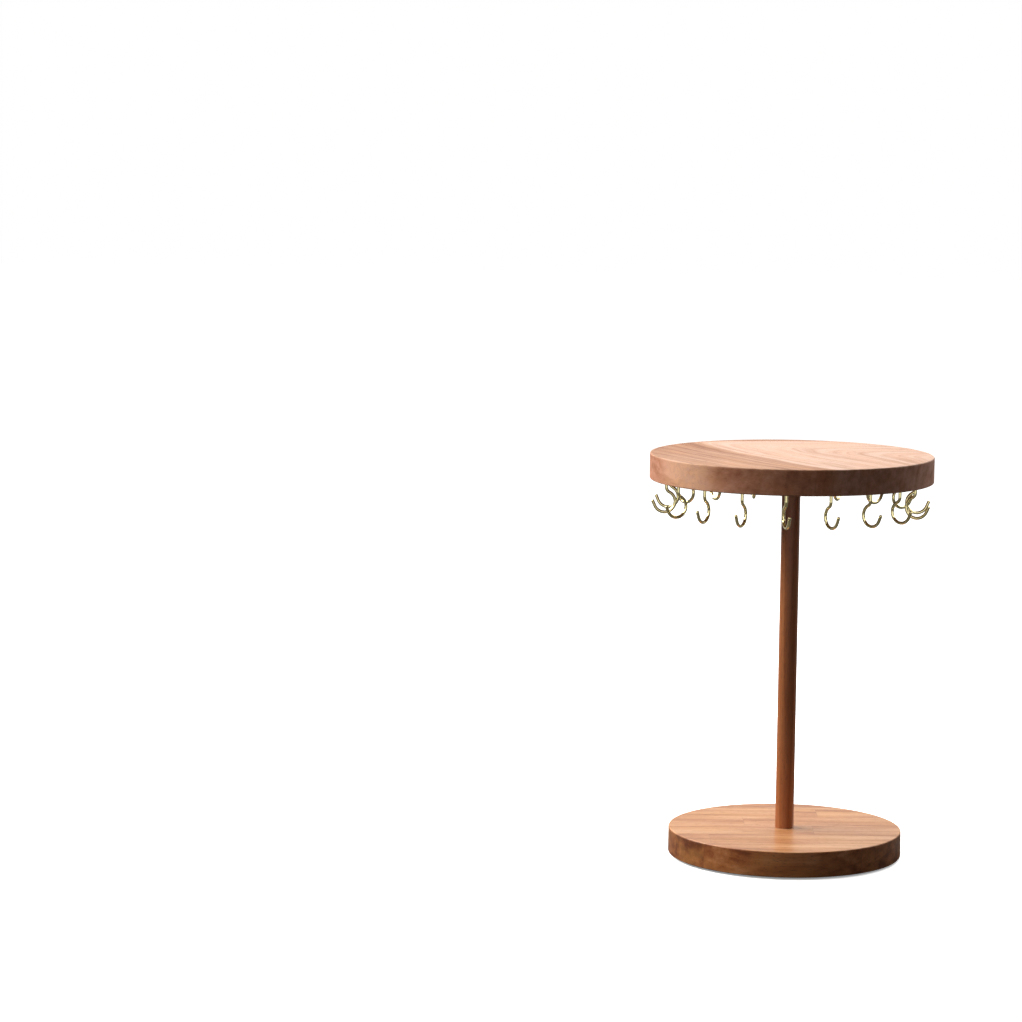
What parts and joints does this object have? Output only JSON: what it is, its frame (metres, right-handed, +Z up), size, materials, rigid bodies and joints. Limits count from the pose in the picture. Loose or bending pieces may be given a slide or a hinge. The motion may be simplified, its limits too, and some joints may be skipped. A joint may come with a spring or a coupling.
{
  "type": "necklace stand",
  "caption": "Round wooden top that spins on a slim pole over a round wooden base, with a ring of brass screw hooks under the top for hanging necklaces.",
  "frame": {"origin": "on the table under the pole's axis, in the plane of the felt pads' undersides", "axes": "+Z up along the pole's axis, with the front hook on the -Y side"},
  "size_m": [0.22, 0.22, 0.3163],
  "materials": {
    "top_wood": "oiled satin",
    "base_wood": "oiled satin",
    "pole_wood": "oiled satin",
    "hook_brass": "polished",
    "insert_brass": "machined",
    "screw_steel": "zinc plated",
    "bearing_steel": "ground",
    "shield_steel": "pressed",
    "cage_nylon": "moulded",
    "pad_felt": "felt"
  },
  "bodies": {
    "stand": {"base_disc": "base_wood", "pole": "pole_wood", "upper_insert": "insert_brass", "lower_insert": "insert_brass", "swivel_screw": "screw_steel", "base_screw": "screw_steel", "base_washer": "screw_steel", "lower_spacer": "screw_steel", "upper_spacer": "screw_steel", "bearing_inner_race": "bearing_steel", "foot_pad_1": "pad_felt", "foot_pad_2": "pad_felt", "foot_pad_3": "pad_felt", "foot_pad_4": "pad_felt"},
    "carousel": {"top_disc": "top_wood", "bearing_outer_race": "bearing_steel", "bearing_lower_shield": "shield_steel", "bearing_upper_shield": "shield_steel", "hook_01": "hook_brass", "hook_02": "hook_brass", "hook_03": "hook_brass", "hook_04": "hook_brass", "hook_05": "hook_brass", "hook_06": "hook_brass", "hook_07": "hook_brass", "hook_08": "hook_brass", "hook_09": "hook_brass", "hook_10": "hook_brass", "hook_11": "hook_brass", "hook_12": "hook_brass", "hook_13": "hook_brass", "hook_14": "hook_brass", "hook_15": "hook_brass", "hook_16": "hook_brass", "hook_17": "hook_brass", "hook_18": "hook_brass"},
    "ball_train": {"bearing_cage": "cage_nylon", "bearing_ball_1": "bearing_steel", "bearing_ball_2": "bearing_steel", "bearing_ball_3": "bearing_steel", "bearing_ball_4": "bearing_steel", "bearing_ball_5": "bearing_steel", "bearing_ball_6": "bearing_steel", "bearing_ball_7": "bearing_steel"}
  },
  "joints": [
    {"name": "carousel_spin", "type": "hinge", "parent": "stand", "child": "carousel", "pos_m": [0, 0, 0.3013], "axis": [0, 0, 1], "continuous": true},
    {"name": "ball_train_orbit", "type": "hinge", "parent": "stand", "child": "ball_train", "pos_m": [0, 0, 0.3013], "axis": [0, 0, 1], "continuous": true}
  ],
  "couplings": [
    {"joint": "ball_train_orbit", "follows": "carousel_spin", "ratio": 0.64}
  ]
}
